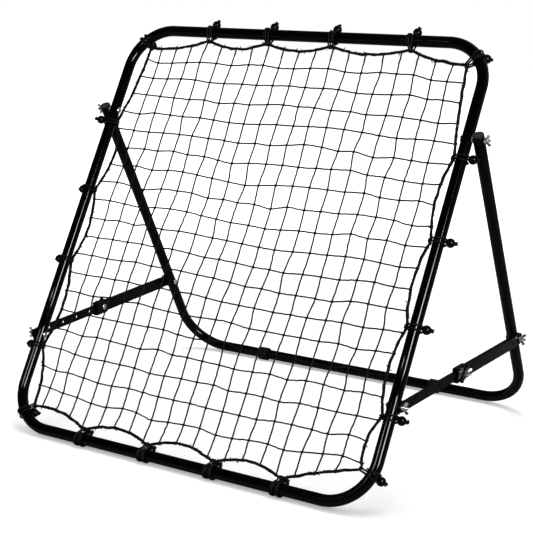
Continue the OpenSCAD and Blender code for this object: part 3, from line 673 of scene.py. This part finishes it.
# The loops under a ball: half their gap at the rope, and the angle at which it opens.
SEAT_GAP, SEAT_ANGLE = 2.7, math.radians(6)
KNOT_SIZE, KNOT_PAST_BALL = 1.12, 2.6  # size of a tie's knot, and how far its middle is past the ball


def heading(degrees):
    """Unit vector at an angle in a plane."""
    a = math.radians(degrees)
    return np.array([math.cos(a), math.sin(a)])


def ties():
    """All ties in order round the frame: (kind, tube centre, outward angle in degrees, rope inset, ball turn)."""
    at, bend = layout_now, mm(sizes().front_bend)
    corner = []
    for side, high, angle, turn in CORNERS:
        middle = np.array([side * (at["half"] - bend), at["rail"] - bend if high else bend])
        corner.append(("corner", middle + bend * heading(angle), angle, INSET_CORNER, turn))
    bottom = [("bottom", np.array([x, 0.0]), -90, INSET_EDGE, TURN_BOTTOM) for x in TIES_BOTTOM]
    right = [("right", np.array([at["half"], s]), 0, INSET_SIDE, r) for s, r in zip(TIES_RIGHT, TURNS_RIGHT)]
    top = [("top", np.array([x, at["rail"]]), 90, INSET_EDGE, TURN_TOP) for x in TIES_TOP]
    left = [("left", np.array([-at["half"], s]), 180, INSET_SIDE, r) for s, r in zip(TIES_LEFT, TURNS_LEFT)]
    return bottom + corner[:1] + right + corner[1:2] + top + corner[2:3] + left + corner[3:]


def outward(tie):
    """Unit vector away from the net at a tie, in the frame's plane."""
    return heading(tie[2])


def rope_route():
    """Centre line of the border rope in the frame's plane, and its place out of it: between ties
    p + f (q - p) plus 4 f (1 - f) times the sag inwards, all joined, spaced evenly and rounded a little at
    the ties, with smooth noise that fades near them."""
    held = [tie[1] - tie[3] * outward(tie) for tie in ties()]
    f = np.linspace(0.0, 1.0, 60, endpoint=False)[:, None]
    spans = []
    for p, q, sag in zip(held, held[1:] + held[:1], SAGS):
        d = unit(q - p)
        spans.append(p + f * (q - p) + 4 * f * (1 - f) * sag * np.array([-d[1], d[0]]))
    flat = soften(even(np.concatenate(spans), ROPE_STEP), 3)
    s, total = run_length(flat, True)
    lean = wander(s, total, 2.0, 150, 11)
    out = wander(s, total, 1.6, 70, 12)
    d = unit(np.roll(flat, -1, 0) - np.roll(flat, 1, 0))
    near = np.min([np.linalg.norm(flat - p, axis=1) for p in held], 0)
    ease = np.clip((near - 8.0) / 25.0, 0.0, 1.0)
    flat = flat + (ease * lean)[:, None] * np.stack([-d[:, 1], d[:, 0]], -1)
    return flat, ease * out


def net_normal():
    """One millimetre out of the net, in the model."""
    return place(0, 0, 1) - place(0, 0, 0)


def tapered(points, radius, sides):
    """A short cord end or fibre along points, drawn to a point at its far end: radius sqrt(1 - f^3)."""
    f = np.linspace(0.0, 1.0, len(points))
    return line_skin(points, (0.3, -0.8, 0.5), radius * np.sqrt(1.0 - f ** 3), sides)


def fibre(start, way, normal, depth, rng):
    """A loose fibre of the rope: from depth under its skin out to one side, curling along the rope."""
    t = unit(way)
    sideways = unit(np.cross(t, normal) * math.cos(rng.uniform(0, TAU)) + normal * math.sin(rng.uniform(0, TAU)))
    f = np.linspace(0.0, 1.0, 5)[:, None]
    reach = rng.uniform(0.003, 0.0068)
    path = start + (depth + reach * f) * sideways + rng.uniform(-1, 1) * 0.004 * f ** 2 * t
    return tapered(path, rng.uniform(0.0006, 0.0012), 5)


class REBOUNDER_OT_rope(bpy.types.Operator):
    """Lays the three strand border rope in scallops from tie to tie, with loose fibres"""
    bl_idname = "rebounder.rope"
    bl_label = "Border rope"

    def execute(self, context):
        z = sizes()
        flat, out = rope_route()
        path = place(flat[:, 0], flat[:, 1], out)
        s, total = run_length(path, True)
        sides = 15
        a = np.linspace(0.0, TAU, sides, endpoint=False)[None, :]
        lay = TAU * round(total / z.rope_lay) * s[:, None] / total
        strands = 1.0 + 0.13 * np.abs(np.cos(1.5 * (a - lay))) - 0.06
        ripple = strands * (1.0 + wander(s, total, 0.22, 260, 13))[:, None]
        grids = [ring_skin(path, net_normal(), mm(z.rope) / 2000.0, sides, ripple)]
        way = np.roll(path, -1, 0) - np.roll(path, 1, 0)
        rng = np.random.default_rng(21)
        for k in rng.choice(len(path), ROPE_FIBRES, replace=False):
            grids.append(fibre(path[k], way[k], net_normal(), mm(z.rope) / 2600.0, rng))
        rope = piece("border_rope", grids, "border_rope", 80)
        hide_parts("net_border_rope")
        return {"FINISHED"}


def settle(left, right, bottom, top):
    """Knots of a net at rest between its fixed edges: each inner knot is the mean of its four neighbours,
    which is one linear solve. left and right run up, bottom and top run across; returns [row, column] places."""
    rows, cols = len(left), len(bottom)
    count = rows * cols
    index = np.arange(count).reshape(rows, cols)
    matrix = 4.0 * np.eye(count)
    for a, b in ((index[:, 1:], index[:, :-1]), (index[1:], index[:-1])):
        matrix[a.ravel(), b.ravel()] = -1.0
        matrix[b.ravel(), a.ravel()] = -1.0
    load = np.zeros((rows, cols, left.shape[1]))
    load[:, 0] += left
    load[:, -1] += right
    load[0] += bottom
    load[-1] += top
    return np.linalg.solve(matrix, load.reshape(count, -1)).reshape(rows, cols, -1)


def through(knots, steps):
    """Smooth curve through knots: on each stretch the cubic whose slope at a knot is half the difference
    of its neighbours, drawn in the given number of steps."""
    slope = np.gradient(knots, axis=0)
    f = np.linspace(0.0, 1.0, steps, endpoint=False)[None, :, None]
    p, q = knots[:-1, None], knots[1:, None]
    m, n = slope[:-1, None], slope[1:, None]
    curve = ((2 * f ** 3 - 3 * f ** 2 + 1) * p + (f ** 3 - 2 * f ** 2 + f) * m
             + (3 * f ** 2 - 2 * f ** 3) * q + (f ** 3 - f ** 2) * n)
    return np.concatenate([curve.reshape(-1, knots.shape[1]), knots[-1:]])


def net_ends(flat, count, along, first, last, span, band):
    """The net's ends on the rope along one side: evenly spaced along it, and square to it where the rope is."""
    square = 1 - along
    window = (flat[:, along] > span[0]) & (flat[:, along] < span[1])
    part = flat[window & (flat[:, square] > band[0]) & (flat[:, square] < band[1])]
    part = part[np.argsort(part[:, along])]
    ends = np.zeros((count, 3))
    ends[:, along] = np.linspace(first, last, count)
    ends[:, square] = np.interp(ends[:, along], part[:, along], part[:, square])
    return ends


def strand(line, radius, seed):
    """One twine through its knots, with a little slack between them."""
    path = through(line, TWINE_STEPS)
    slack = np.random.default_rng(seed).normal(scale=TWINE_SLACK, size=path.shape)
    slack[::TWINE_STEPS] = 0
    return line_skin(place(*(path + slack).T), net_normal(), radius / 1000.0, 6)


def knots_at(centres, size, turns, squash=0.8):
    """Small knots, one at each centre, each an egg with a waist: at angle a round it and v down it the
    radius is size (1 + 0.18 cos (2a + turn)) sin v and the height is squash size cos v."""
    v = np.linspace(0.0, math.pi, 6)[:, None]
    a = np.linspace(0.0, TAU, 8, endpoint=False)
    turns, centres = turns[:, None, None], centres[:, None, None]
    r = size * (1 + 0.18 * np.cos(2 * a + turns)) * np.sin(v)
    x, y = r * np.cos(a), r * np.sin(a)
    c, s = np.cos(turns), np.sin(turns)
    return copies(place(centres[..., 0] + c * x - s * y, centres[..., 1] + s * x + c * y,
                        centres[..., 2] + squash * size * np.cos(v)))


class REBOUNDER_OT_net(bpy.types.Operator):
    """Knots the net: settles its knots between the rope's scallops, then runs the twine through them"""
    bl_idname = "rebounder.net"
    bl_label = "Net"

    def execute(self, context):
        z, at = sizes(), layout_now
        flat, _ = rope_route()
        cols, rows = z.net_columns - 1, z.net_rows - 1
        edges = [net_ends(flat, rows if side[0] else cols, *side) for side in NET_SIDES]
        knots = settle(*(e[:, :2] for e in edges))
        rng = np.random.default_rng(31)
        knots += rng.normal(scale=KNOT_SCATTER, size=knots.shape)
        up, across = np.linspace(0, 1, rows)[:, None], np.linspace(0, 1, cols)[None, :]
        bulge_up, bulge_across = np.sin(math.pi * up), np.sin(math.pi * across)
        knots[..., 1] += 6.5 * np.sin(2.2 * TAU * across * up + 0.7) * bulge_across * bulge_up
        knots[..., 0] += 3.0 * np.sin(1.7 * TAU * up + 4.0 * across) * bulge_across
        middle = at["rail"] / 2
        hang = -mm(z.net_hang) * (1 - (knots[..., 0] / at["half"]) ** 2)
        hang = hang * (1 - ((knots[..., 1] - middle) / middle) ** 2)
        inner = np.concatenate([knots, hang[..., None]], -1)

        left, right, low, top = edges
        radius = mm(z.twine) / 2
        grids = [strand(np.concatenate([low[k:k + 1], inner[:, k], top[k:k + 1]]), radius, 100 + k)
                 for k in range(cols)]
        grids += [strand(np.concatenate([left[k:k + 1], inner[k], right[k:k + 1]]), radius, 200 + k)
                  for k in range(rows)]
        turns = rng.uniform(0, TAU, rows * cols)
        grids.append(knots_at(inner.reshape(-1, 3), radius * 1.95, turns))
        for edge in edges:
            grids.append(knots_at(edge, mm(z.rope) / 2 + 0.9, 1.3 * np.arange(len(edge)), 1.0))
        net = piece("net", grids, "net_twine", 80)
        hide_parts("net_mesh")
        return {"FINISHED"}


def tie_place(tie, out, side, front):
    """Model place of a point of a tie: out from the tube's centre, sideways along the tube, and to the front."""
    d = outward(tie)
    t = np.array([-d[1], d[0]])
    out, side, front = np.broadcast_arrays(out, side, front)
    return place(tie[1][0] + out * d[0] + side * t[0], tie[1][1] + out * d[1] + side * t[1], front)


def belt(inset, tube_r, rope_r):
    """Closed loop round the tube at the origin and the rope at -inset: two arcs and their common tangents."""
    b = math.acos((tube_r - rope_r) / inset)
    a = np.linspace(-(math.pi - b), math.pi - b, 96)
    c = np.linspace(math.pi - b, math.pi + b, 24)
    tube = tube_r * np.stack([np.cos(a), np.sin(a)], -1)
    rope = np.stack([-inset + rope_r * np.cos(c), rope_r * np.sin(c)], -1)
    f = np.linspace(0, 1, 14)[1:-1, None]
    return np.concatenate([tube, tube[-1] + f * (rope[0] - tube[-1]), rope, rope[-1] + f * (tube[0] - rope[-1])])


def tie_cords(tie, seed):
    """Cord loops of one tie. Two loops hold the rope, each a belt whose sideways place grows from the rope to
    the far side of the tube; on bottom, top and corners further turns lie outside them, slightly aslant."""
    z = sizes()
    r = mm(z.cord) / 2
    tube_r = mm(z.tube) / 2 + 0.35 + r
    rope_r = mm(z.rope) / 2 + 0.2 + r
    slant = np.random.default_rng(seed).uniform(-0.05, 0.05)
    a = np.linspace(0, TAU, 96, endpoint=False)
    loop, ring = belt(tie[3], tube_r, rope_r), tube_r * np.stack([np.cos(a), np.sin(a)], -1)
    loops = []
    for side in (-1, 1):
        t = side * np.interp(loop[:, 0], [-tie[3] - rope_r, -tube_r, tube_r], [LOOP_AT_ROPE, LOOP_NEAR, LOOP_FAR])
        t = t + slant * (loop[:, 0] + tube_r) + 0.35 * np.sin(loop[:, 1] / 5.0 + side)
        loops.append((loop, t))
    for k in range({"bottom": 2, "top": 1, "corner": 1}.get(tie[0], 0)):
        side = 1 if k % 2 == seed % 2 else -1
        t = side * np.interp(ring[:, 0], [-tube_r, tube_r], [LOOP_NEAR + NEXT_TURN, LOOP_FAR + NEXT_TURN])
        t = t + slant * (ring[:, 0] + tube_r) + 0.5 * np.sin(a + seed)
        loops.append((ring, t))
    side = tie_place(tie, 0, 1, 0) - tie_place(tie, 0, 0, 0)
    return [ring_skin(tie_place(tie, loop[:, 0], t, loop[:, 1]), side, r / 1000.0, 10) for loop, t in loops]


def ball_place(tie):
    """How far the ball's centre is from the tube's centre, resting between the two loops."""
    z = sizes()
    r, tube = mm(z.cord) / 2, mm(z.tube) / 2
    gap = SEAT_GAP + (tie[3] + (tube + 2) * math.cos(math.radians(tie[4]))) * math.tan(SEAT_ANGLE)
    reach = mm(z.ball) / 2 + r + 0.3
    return tube + 0.4 + r + math.sqrt(max(reach ** 2 - gap ** 2, 1.0))


def along_roll(tie, far, side=0.0, lift=0.0):
    """Place along the ball's direction: far from the tube's centre, sideways, and lift square to both."""
    a = math.radians(tie[4])
    return tie_place(tie, far * math.cos(a) - lift * math.sin(a), side, far * math.sin(a) + lift * math.cos(a))


def tie_knot(tie, seed):
    """Knot past the ball: a closed overhand knot, x = sin t + 2 sin 2t, y = cos t - 2 cos 2t, z = -sin 3t,
    drawn small, with the cord's two cut ends and its neck through the ball."""
    z = sizes()
    r, tube = mm(z.cord) / 2000.0, mm(z.tube) / 2
    far = ball_place(tie) + mm(z.ball) / 2
    middle = far + KNOT_PAST_BALL
    t = np.linspace(0.0, TAU, 90, endpoint=False)
    side = KNOT_SIZE * (np.sin(t) + 2 * np.sin(2 * t))
    lift = KNOT_SIZE * (np.cos(t) - 2 * np.cos(2 * t))
    c, s = math.cos(seed * 1.1), math.sin(seed * 1.1)
    path = along_roll(tie, middle - 1.7 * np.sin(3 * t), side * c - lift * s, side * s + lift * c)
    grids = [ring_skin(path, along_roll(tie, 1.0) - along_roll(tie, 0.0), r * 0.9, 8)]
    f = np.linspace(0.0, 1.0, 8)
    for m in (-1, 1):
        end = along_roll(tie, middle + 3.6 * f, m * (1.0 + 2.4 * f) * c, m * (1.0 + 1.8 * f) * s)
        grids.append(tapered(end, r * 0.82, 8))
    neck = along_roll(tie, tube + 0.6 + np.linspace(0.0, 1.0, 12) * (far + 2.0 - tube), 0.0, 0.0)
    return grids + [line_skin(neck, (0.4, 0.3, 0.8), r * 0.95, 10)]


def tie_ball(tie):
    """Ball with a moulded seam and a bore: a half circle profile with a lip at each end of its hole."""
    z = sizes()
    radius, bore = mm(z.ball) / 2, mm(z.cord) / 2 + 0.3
    start = math.asin(bore / radius)
    v = np.linspace(start, math.pi - start, 44)
    seam = 0.16 * np.exp(-((v - math.pi / 2) / 0.05) ** 2)
    r = radius * np.sin(v) + seam - 0.05
    d = -radius * np.cos(v)
    lip = np.array([[d[0] + 1.4, bore - 0.2], [d[0] + 0.2, bore - 0.1], [d[0] - 0.1, bore + 0.35]])
    profile = np.concatenate([lip, np.stack([d[2:-2], r[2:-2]], -1), (lip * [-1, 1])[::-1]]) / 1000.0
    axis = along_roll(tie, 1.0) - along_roll(tie, 0.0)
    side = along_roll(tie, 0.0, 1.0) - along_roll(tie, 0.0)
    return grid(spun(profile, along_roll(tie, ball_place(tie)), axis, side * 1000.0, 36), wrap_v=True)


class REBOUNDER_OT_ties(bpy.types.Operator):
    """Loops the elastic cords round tube and rope, and adds their knots and balls"""
    bl_idname = "rebounder.ties"
    bl_label = "Elastic ties"

    def execute(self, context):
        for kind in ("top", "bottom", "left", "right", "corner"):
            chosen = [(k, t) for k, t in enumerate(ties()) if t[0] == kind]
            cords = [g for k, t in chosen for g in tie_cords(t, k) + tie_knot(t, k)]
            shown = piece(f"cords_{kind}", cords, "elastic_cord", 80)
            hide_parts(f"tie_cords_{kind}")
            balls = piece(f"balls_{kind}", [tie_ball(t) for _, t in chosen], "ball_plastic", 50)
            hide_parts(f"tie_balls_{kind}")
        return {"FINISHED"}


# ---------------------------------------------------------------- stage
FLOOR_HALF = 9.0
# Name, place, aim, size, watts and whether the lamp is a gleam.
LAMPS = (("overhead", (0.1, 0.5, 3.4), (0.0, 0.0, 0.3), (2.4, 1.6), 60.0, False),
         ("left_key", (-1.9, -2.2, 2.4), (0.0, 0.0, 0.45), (1.2, 1.2), 14.0, False),
         ("low_gleam", (-0.5, -2.5, 1.82), (0.0, -0.35, 0.1), (0.8, 0.26), 19.0, True),
         ("right_gleam", (2.9, -1.95, 1.85), (0.0, -0.1, 0.3), (0.85, 1.6), 270.0, True))
CAMERA_PLACE = (1.5436, -2.4297, 1.0635)
CAMERA_TURN = (90 - 16.457, -0.04, 32.488)  # degrees
CAMERA_LENS, CAMERA_SENSOR = 87.24, 36.0
CAMERA_SHIFT = (-0.0015, 0.1214)


def lamp(name, at, aim, size, power, gleam):
    """A soft rectangular lamp turned to its aim. A gleam only shows as a reflection on gloss, and any other
    lamp only as light."""
    data = bpy.data.lights.new(name, "AREA")
    data.shape = "RECTANGLE"
    data.size, data.size_y = size
    data.energy = power
    shown = bpy.data.objects.new(name, data)
    way = np.array(aim, float) - np.array(at, float)
    shown.rotation_euler = Vector(way).to_track_quat("-Z", "Y").to_euler()
    shown.location = at
    shown.visible_diffuse = not gleam
    shown.visible_glossy = gleam
    bpy.context.scene.collection.objects.link(shown)


def floor_finish():
    """A matt pale floor that is darker in reflections and, to the camera, glows white far from the middle."""
    m = bpy.data.materials.new("pale_floor")
    m.use_nodes = True
    t = m.node_tree
    path, shader = node(t, "LightPath"), t.nodes["Principled BSDF"]
    feed(t, shader, {"Base Color": tinted(t, path["Is Glossy Ray"], (0.9, 0.9, 0.9), (0.3, 0.3, 0.3)),
                     "Roughness": 0.6, "Specular IOR Level": 0.0})
    far = node(t, "VectorMath", {0: node(t, "TexCoord")["Object"]}, operation="LENGTH")["Value"]
    level = maths(t, "MULTIPLY", path["Is Camera Ray"], ranged(t, far, 0.3, 1.0, 1.2, 2.4))
    glow = node(t, "Emission", {"Color": (1, 1, 1, 1), "Strength": level})[0]
    feed(t, t.nodes["Material Output"], {"Surface": node(t, "AddShader", {0: shader.outputs[0], 1: glow})[0]})
    return m


def surround():
    """A white world: even light, a plain white background to the camera, and in reflections a ramp that is
    brightest behind and to the right of the part."""
    world = bpy.data.worlds.new("surround")
    world.use_nodes = True
    w = world.node_tree
    w.nodes.clear()
    path, way = node(w, "LightPath"), node(w, "SeparateXYZ", {0: node(w, "TexCoord")["Generated"]})
    ramp = maths(w, "MULTIPLY", ranged(w, way["Y"], 0.01, 0.33, -0.1, 0.5),
                 ranged(w, way["X"], 0.25, 1.0, -0.5, 0.1))
    light, seen, back = (node(w, "Background", {"Color": (1, 1, 1, 1), "Strength": strength})[0]
                         for strength in (0.55, ramp, 1.0))
    first = node(w, "MixShader", {0: path["Is Glossy Ray"], 1: light, 2: seen})[0]
    node(w, "OutputWorld", {"Surface": node(w, "MixShader", {0: path["Is Camera Ray"], 1: first, 2: back})[0]})
    return world


class REBOUNDER_OT_stage(bpy.types.Operator):
    """Sets the pale floor, the white surround, the lamps and the camera"""
    bl_idname = "rebounder.stage"
    bl_label = "Floor, lamps and camera"

    def execute(self, context):
        scene = context.scene
        side = np.linspace(-FLOOR_HALF, FLOOR_HALF, 4)
        x, y = np.meshgrid(side, side, indexing="ij")
        points, quads, _ = grid(np.stack([x, y, 0 * x], -1))
        mesh = bpy.data.meshes.new("floor")
        mesh.from_pydata(points.tolist(), [], quads[:, ::-1].tolist())
        mesh.materials.append(floor_finish())
        floor = bpy.data.objects.new("floor", mesh)
        scene.collection.objects.link(floor)
        scene.world = surround()
        for values in LAMPS:
            lamp(*values)

        data = bpy.data.cameras.new("camera")
        data.lens, data.sensor_width = CAMERA_LENS, CAMERA_SENSOR
        data.shift_x, data.shift_y = CAMERA_SHIFT
        data.clip_end = 50.0
        shown = bpy.data.objects.new("camera", data)
        shown.location = CAMERA_PLACE
        shown.rotation_euler = tuple(math.radians(angle) for angle in CAMERA_TURN)
        scene.collection.objects.link(shown)
        scene.camera = shown
        scene.view_settings.view_transform = "Standard"
        return {"FINISHED"}


class REBOUNDER_PT_panel(bpy.types.Panel):
    """Lists the pieces and their sizes and colours"""
    bl_idname = "REBOUNDER_PT_panel"
    bl_label = "Pitch back rebounder"
    bl_space_type = "VIEW_3D"
    bl_region_type = "UI"
    bl_category = "Rebounder"

    def draw(self, context):
        for op in OPERATORS:
            self.layout.operator(op.bl_idname)
        for group in (context.scene.rebounder_sizes, context.scene.rebounder_colours):
            box = self.layout.box()
            for key in group.__annotations__:
                box.prop(group, key)


OPERATORS = (REBOUNDER_OT_tubes, REBOUNDER_OT_struts, REBOUNDER_OT_fasteners, REBOUNDER_OT_rope, REBOUNDER_OT_net,
             REBOUNDER_OT_ties, REBOUNDER_OT_stage)
CLASSES = (RebounderSizes, RebounderColours) + OPERATORS + (REBOUNDER_PT_panel,)


def register():
    """Adds the classes and the scene's properties."""
    for c in CLASSES:
        bpy.utils.register_class(c)
    bpy.types.Scene.rebounder_sizes = PointerProperty(type=RebounderSizes)
    bpy.types.Scene.rebounder_colours = PointerProperty(type=RebounderColours)


def unregister():
    """Removes them."""
    del bpy.types.Scene.rebounder_sizes
    del bpy.types.Scene.rebounder_colours
    for c in reversed(CLASSES):
        bpy.utils.unregister_class(c)


def main():
    """Makes every piece in order."""
    register()
    layout_now.update(layout())
    bpy.ops.rebounder.tubes()
    bpy.ops.rebounder.struts()
    bpy.ops.rebounder.fasteners()
    bpy.ops.rebounder.rope()
    bpy.ops.rebounder.net()
    bpy.ops.rebounder.ties()
    bpy.ops.rebounder.stage()


if __name__ == "__main__":
    main()
